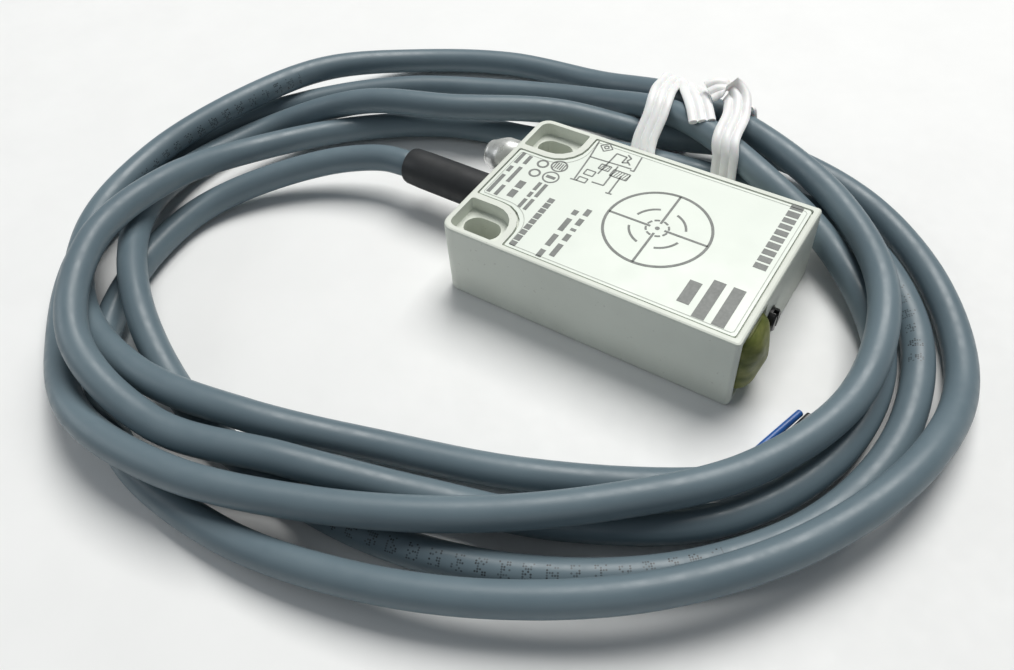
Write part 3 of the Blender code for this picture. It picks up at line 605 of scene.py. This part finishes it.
def blendLean(first, last, start, end):
    # the strip's lie turns smoothly from one direction to another along its run
    def at(share):
        k = np.clip((share - start) / (end - start), 0.0, 1.0)[:, None]
        k = k * k * (3 - 2 * k)
        return np.array(first) * (1 - k) + np.array(last) * k
    return at


def makeTie(line):
    left = ribbedStrip("tieLeft", turnAround(line, tieTurns["tieLeft"]))
    settle(left, "tie_plastic", "tie_wrap_left")
    lean = blendLean(tie["bundle"], tie["tabLean"], 0.25, 0.6)
    tab = ribbedStrip("tieTab", np.array(tieTab) * mm, lean)
    settle(tab, "tie_plastic")
    wrap = turnAround(line, tieTurns["tieRight"])
    right = ribbedStrip("tieRight", np.vstack([wrap, np.array(tieCurl) * mm]))
    settle(right, "tie_plastic", "tie_wrap_right")
    return [left, tab, right]


sleeve = {
    "middle": (0.0, 0.008),       # y and z of its axis
    "neckRadius": 0.0032,
    "flangeRadius": 0.0044,
    # (x, radius): the flange's outer edge and the groove, then the barrel, which narrows a little
    "flange": [(-0.0258, 0.0044), (-0.0258, 0.0031), (-0.0278, 0.0031)],
    "barrel": [(-0.0278, 0.0035), (-0.0280, 0.0037), (-0.0440, 0.00365), (-0.0468, 0.00355)],
    "rim": (-0.0471, 0.00345),
    "rimRound": 0.0004,
    "mouth": [(-0.04752, 0.00285), (-0.0472, 0.00272), (-0.0470, 0.00268)],
}


def makeSleeve():
    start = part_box("cable_sleeve")[1][0]
    rimX, rimRadius = sleeve["rim"]
    bend = [(rimX - sleeve["rimRound"] * math.sin(a), rimRadius - sleeve["rimRound"] * (1 - math.cos(a)))
            for a in np.linspace(0.0, math.pi / 2, 5)]
    profile = [(start, sleeve["neckRadius"]), (start, sleeve["flangeRadius"]),
               *sleeve["flange"], *sleeve["barrel"], *bend, *sleeve["mouth"]]
    piece = turnedPiece("cableSleeve", profile, sleeve["middle"], finish["sleeve"])
    return settle(piece, "sleeve_rubber", "cable_sleeve")


lens = {
    "middle": (0.0094, 0.0095),   # y and z of its axis
    "radius": 0.0039,
    "footEdge": 0.0002,
    "barrel": 0.0036,             # length
    "taper": 0.0029,              # length
    "narrowing": 0.0013,          # by the end of the taper
    "bow": 1.3,                   # 1 would make the taper straight
    "tip": 0.0010,                # length
    "tipFlat": 0.0014,
    "tipRound": 0.0012,
    "end": (0.00752, 0.0005),     # distance from the foot, radius
}


def makeLens():
    # barrel, a slightly bowed taper and a blunt rounded tip
    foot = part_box("indicator_lens")[1][0]
    radius = lens["radius"]
    shoulder = foot - lens["barrel"]
    taper = [(shoulder - lens["taper"] * t, radius - lens["narrowing"] * t ** lens["bow"])
             for t in np.linspace(0.0, 1.0, 8)]
    tipStart = shoulder - lens["taper"]
    tip = [(tipStart - lens["tip"] * math.sin(a), lens["tipFlat"] + lens["tipRound"] * math.cos(a))
           for a in np.linspace(0.2, math.pi / 2, 7)]
    endReach, endRadius = lens["end"]
    profile = [(foot, radius - lens["footEdge"]), (foot - lens["footEdge"], radius), *taper, *tip,
               (foot - endReach, endRadius)]
    piece = turnedPiece("indicatorLens", profile, lens["middle"], finish["lens"], sharp=60)
    return settle(piece, "clear_lens", "indicator_lens")


window = {
    "bulge": 0.0030,
    "squareness": 4.0,            # the outline is |y|^n + |z|^n = 1
    "ripple": 0.00018,
    "waves": (900.0, 700.0),      # radians per metre across and up
    "sunk": 0.0002,               # keeps the rippled face within the box
    "tip": 0.01,                  # share of the outline left at the top of the swell
    "rings": 22,
    "around": 88,
}


def makeWindow():
    # swollen plate: superellipse outline, half-ellipse swell
    low, high = (np.array(c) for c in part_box("window"))
    middle = (low + high) / 2
    half = (high - low) / 2
    climb = np.linspace(0, math.pi / 2, window["rings"])
    share = np.concatenate([[1.0], np.cos(climb)])
    share[-1] = window["tip"]
    x = np.concatenate([[low[0]], high[0] - window["bulge"] + window["bulge"] * np.sin(climb)])
    a = 2 * math.pi * np.arange(window["around"]) / window["around"]
    n = window["squareness"]
    reach = (np.abs(np.cos(a)) ** n + np.abs(np.sin(a)) ** n) ** (-1 / n)
    y = middle[1] + half[1] * share[:, None] * (reach * np.cos(a))[None]
    z = middle[2] + half[2] * share[:, None] * (reach * np.sin(a))[None]
    swollen = (share < 0.98)[:, None]
    across, upward = window["waves"]
    ripple = window["ripple"] * np.sin(y * across + 1.0) * np.sin(z * upward) * swollen
    points = np.stack([x[:, None] + ripple - window["sunk"] * swollen, y, z], axis=-1).reshape(-1, 3)
    faces = quadGrid(len(share), len(a))[:, ::-1].tolist()
    faces.append(list(range(len(a)))[::-1])
    faces.append(list(range((len(share) - 1) * len(a), len(share) * len(a))))
    piece = addMesh("statusWindow", points, faces, finish["window"], sharp=50)
    return settle(piece, "window_resin", "window")


printing = {
    "lift": 0.00001,              # off the label
    "depth": 0.00003,             # of the ink
}


class Ink:
    # gathers flat closed strokes on the label, in millimetres, and makes them one mesh
    def __init__(self):
        self.points = []
        self.faces = []
        self.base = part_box("front_label")[1][2] + printing["lift"]

    def ribbon(self, line, width, closed=False):
        line = np.asarray(line, float)
        if closed:
            ahead = unit(np.roll(line, -1, 0) - np.roll(line, 1, 0))
        else:
            ahead = unit(np.gradient(line, axis=0))
        side = np.stack([-ahead[:, 1], ahead[:, 0]], axis=1) * width / 2
        left, right = line + side, line - side
        low, high = self.base, self.base + printing["depth"]
        edges = ((left, low), (right, low), (right, high), (left, high))
        ring = np.stack([np.c_[edge * mm, np.full(len(line), height)] for edge, height in edges], axis=1)
        start = sum(len(p) for p in self.points)
        rows = len(line)
        if closed:
            ring = np.concatenate([ring, ring[:1]])
            rows += 1
        quads = quadGrid(rows, 4)[:, ::-1]
        if closed:
            quads = quads % ((rows - 1) * 4)
            ring = ring[:-1]
        self.points.append(ring.reshape(-1, 3))
        self.faces += (quads + start).tolist()
        if not closed:
            self.faces.append([start, start + 1, start + 2, start + 3])
            last = start + (rows - 1) * 4
            self.faces.append([last + 3, last + 2, last + 1, last])

    def bar(self, start, end, width):
        self.ribbon(np.linspace(start, end, 2), width)

    def path(self, points, width):
        for start, end in zip(points, points[1:]):
            self.bar(start, end, width)

    def arc(self, centre, radius, first, last, width, steps=24):
        a = np.radians(np.linspace(first, last, steps))
        self.ribbon(np.c_[centre[0] + radius * np.cos(a), centre[1] + radius * np.sin(a)], width)

    def ring(self, centre, radius, width, steps=72):
        a = 2 * math.pi * np.arange(steps) / steps
        circle = np.c_[centre[0] + radius * np.cos(a), centre[1] + radius * np.sin(a)]
        self.ribbon(circle, width, closed=True)

    def words(self, x, start, end, height, lengths, gap=0.5):
        # a row of plain dashes that runs across the label, standing for words
        total = sum(lengths) + gap * (len(lengths) - 1)
        scale = abs(end - start) / total
        sign = 1 if end > start else -1
        y = start
        for length in lengths:
            self.bar((x, y), (x, y + sign * length * scale), height)
            y += sign * (length + gap) * scale

    def finished(self, name, material):
        return addMesh(name, np.vstack(self.points), self.faces, material, smooth=False)


target = {
    # millimetres on the label; each stroke's width comes last
    "middle": (5.4, -0.2),
    "circle": (9.15, 0.5),
    # (radius, first and last angle in each quarter, width, steps)
    "dashes": [(4.75, 19, 71, 0.42, 24), (1.95, 12, 40, 0.36, 8), (1.95, 52, 80, 0.36, 8)],
    "cross": (1.3, 9.1, 0.42),    # from and to, out from the middle
    "dot": (0.22, 0.4),
}


def printTarget(ink):
    middle = target["middle"]
    ink.ring(middle, *target["circle"])
    start, end, width = target["cross"]
    for k in range(4):
        for radius, first, last, stroke, steps in target["dashes"]:
            ink.arc(middle, radius, 90 * k + first, 90 * k + last, stroke, steps)
        turn = math.radians(90 * k)
        ink.bar((middle[0] + start * math.cos(turn), middle[1] + start * math.sin(turn)),
                (middle[0] + end * math.cos(turn), middle[1] + end * math.sin(turn)), width)
    ink.ring(middle, *target["dot"], 12)


diagram = {
    "lines": [
        [(-14.5, 16.0), (-13.8, 11.2), (-13.2, 4.4)],
        [(-13.8, 11.2), (-8.1, 11.5), (-5.6, 11.6)],
        [(-10.2, 7.6), (-9.9, 14.3), (-7.8, 14.2), (-7.9, 12.4), (-6.9, 12.9)],
        [(-10.1, 5.1), (-7.8, 5.2), (-8.0, 11.1)],
        [(-5.4, 15.4), (-4.9, 11.2), (-5.6, 11.2)],
        [(-6.2, 8.9), (-6.0, 3.9)],
        [(-6.6, 3.7), (-5.4, 3.8)],
        [(-13.9, 4.1), (-12.6, 4.2)],
        [(-7.9, 14.9), (-6.9, 14.2), (-7.3, 13.3), (-6.3, 12.4)],
    ],
    "lineWidth": 0.3,
    # opposite corners
    "boxes": [((-12.5, 6.4), (-10.7, 7.8)), ((-12.7, 4.2), (-11.0, 5.4)),
              ((-10.9, 9.0), (-8.9, 10.4)), ((-8.2, 8.2), (-4.9, 10.0))],
    "boxWidth": 0.26,
    # first stroke's start and end, how many strokes
    "hatches": [((-8.0, 8.4), (-7.6, 9.8), 6), ((-10.6, 9.2), (-10.3, 10.2), 3)],
    "hatchStep": 0.55,
    "hatchWidth": 0.16,
    "diamond": (-12.4, 15.0),
    "diamondSizes": (1.25, 0.5),
    "diamondWidth": 0.24,
}


def printDiagram(ink):
    # a plain wiring sketch of boxes and lines
    for line in diagram["lines"]:
        ink.path(line, diagram["lineWidth"])
    for (x0, y0), (x1, y1) in diagram["boxes"]:
        ink.path([(x0, y0), (x1, y0), (x1, y1), (x0, y1), (x0, y0)], diagram["boxWidth"])
    for start, end, count in diagram["hatches"]:
        for k in range(count):
            along = diagram["hatchStep"] * k
            ink.bar((start[0] + along, start[1]), (end[0] + along, end[1]), diagram["hatchWidth"])
    x, y = diagram["diamond"]
    for size in diagram["diamondSizes"]:
        corners = [(x, y + size), (x + size, y), (x, y - size), (x - size, y), (x, y + size)]
        ink.path(corners, diagram["diamondWidth"])


marks = {
    # (x, first y, last y, height, lengths, gap) of each row of dashes
    "rows": [
        (-24.9, 6.5, -6.0, 0.75, (1.6, 0.8, 2.6), 0.5),
        (-23.3, 6.2, -6.1, 0.75, (1.2, 2.2, 1.4), 0.5),
        (-20.8, -0.6, -5.3, 1.35, (1.4, 1.4), 0.45),
        (-17.9, 0.6, -6.9, 0.7, (1.5, 0.9, 1.6), 0.4),
        (-16.7, 0.6, -7.0, 0.7, (2.0, 1.6), 0.4),
        (-13.8, -2.2, -15.6, 1.15, (0.9, 1.0, 0.9, 1.1, 0.9, 1.0, 0.9, 1.1, 0.9), 0.22),
        (-8.6, -2.8, -15.8, 1.0, (0.8, 2.1, 1.9, 1.2), 0.7),
        (-6.7, -1.6, -14.6, 1.0, (1.1, 1.1, 0.4, 1.1, 2.0), 0.6),
    ],
    # (middle, radius, stroke, steps)
    "smallRings": [((-20.3, 5.3), 0.95, 0.4, 28), ((-20.3, 2.4), 0.95, 0.4, 28)],
    "hatchedRing": ((-17.3, 6.1), 1.45, 0.32, 36),
    "barredRing": ((-17.1, 2.7), 1.45, 0.3, 36),
    "blockWidths": (1.25, 1.45, 1.2, 1.2, 1.3, 1.2, 1.45, 1.25, 1.35, 1.3),
    "blockX": (22.55, 24.75),
    "blockStart": 16.2,
    "blockGap": 0.47,
    "barReaches": (2.6, 4.4, 4.4),
    "barStart": (16.3, -11.0),
    "barStep": 3.3,
    "barWidth": 2.1,
}


def printMarks(ink):
    # plain bars and rings in place of names, numbers and approval marks
    for row in marks["rows"]:
        ink.words(*row)
    for ring in (*marks["smallRings"], marks["hatchedRing"]):
        ink.ring(*ring)
    for k in range(5):
        ink.bar((-18.2 + 0.45 * k, 5.2), (-18.2 + 0.45 * k, 7.0), 0.24)
    ink.ring(*marks["barredRing"])
    ink.bar((-18.0, 2.7), (-16.2, 2.7), 0.7)
    # a row of ten plain blocks of uneven width across the far end
    near, far = marks["blockX"]
    y = marks["blockStart"]
    for width in marks["blockWidths"]:
        ink.bar((near, y - width / 2), (far, y - width / 2), width)
        y -= width + marks["blockGap"]
    # three bars of different length in the corner
    x, y = marks["barStart"]
    for k, reach in enumerate(marks["barReaches"]):
        along = x + marks["barStep"] * k
        ink.bar((along, y - reach), (along, y + reach), marks["barWidth"])


border = {
    "inset": 0.55,                # from the label's edge
    "notch": (-14.45, 6.45),      # where the line turns in round each screw pocket
    "notchRound": 5.8,
    "corner": 0.4,                # what is cut off each outer corner
    "notchCorner": 0.3,
    "width": 0.14,
}


def printBorder(ink):
    low, high = (np.array(c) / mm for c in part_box("front_label"))
    x0, x1, y1 = low[0] + border["inset"], high[0] - border["inset"], high[1] - border["inset"]
    notchX, notchY = border["notch"]
    r, cut, small = border["notchRound"], border["corner"], border["notchCorner"]
    a = np.radians(np.linspace(0, 90, 14))
    for sign in (1, -1):
        # concave corner round the screw pocket
        bend = np.c_[notchX - r + r * np.cos(a), sign * (notchY + r - r * np.sin(a))]
        outer = [(x1, 0.0), (x1, sign * (y1 - cut)), (x1 - cut, sign * y1),
                 (notchX + small, sign * y1), (notchX, sign * (y1 - small))]
        inner = [(x0 + small, sign * notchY), (x0, sign * (notchY - small)), (x0, 0.0)]
        ink.ribbon(np.vstack([outer, bend, inner]), border["width"])


def makePrinting():
    dark, pale = Ink(), Ink()
    printTarget(dark)
    printDiagram(dark)
    printMarks(dark)
    printBorder(pale)
    settle(dark.finished("labelPrinting", finish["ink"]), "label_foil")
    settle(pale.finished("labelBorder", finish["inkPale"]), "label_foil")


def makeFloor():
    half, z = studio["floorHalf"], -studio["floorDrop"]
    corners = [(-half, -half, z), (half, -half, z), (half, half, z), (-half, half, z)]
    pale = moulded("paleFloor", (0.86, 0.865, 0.86), (0.84, 0.845, 0.84), (0.6, 0.75), grainDepth=0.000005)
    return addMesh("floor", corners, [[0, 1, 2, 3]], pale, smooth=False)


makeCamera()
makeLights()
floor = makeFloor()
print("studio")

finishNodes()
sheath, line, run = makeCable()
coreTubes = makeCores()
tiePieces = makeTie(line)
print("cable", round(float(run[-1]), 3), "m")

makeSleeve()
makeLens()
makeWindow()
makePrinting()
print("sensor")
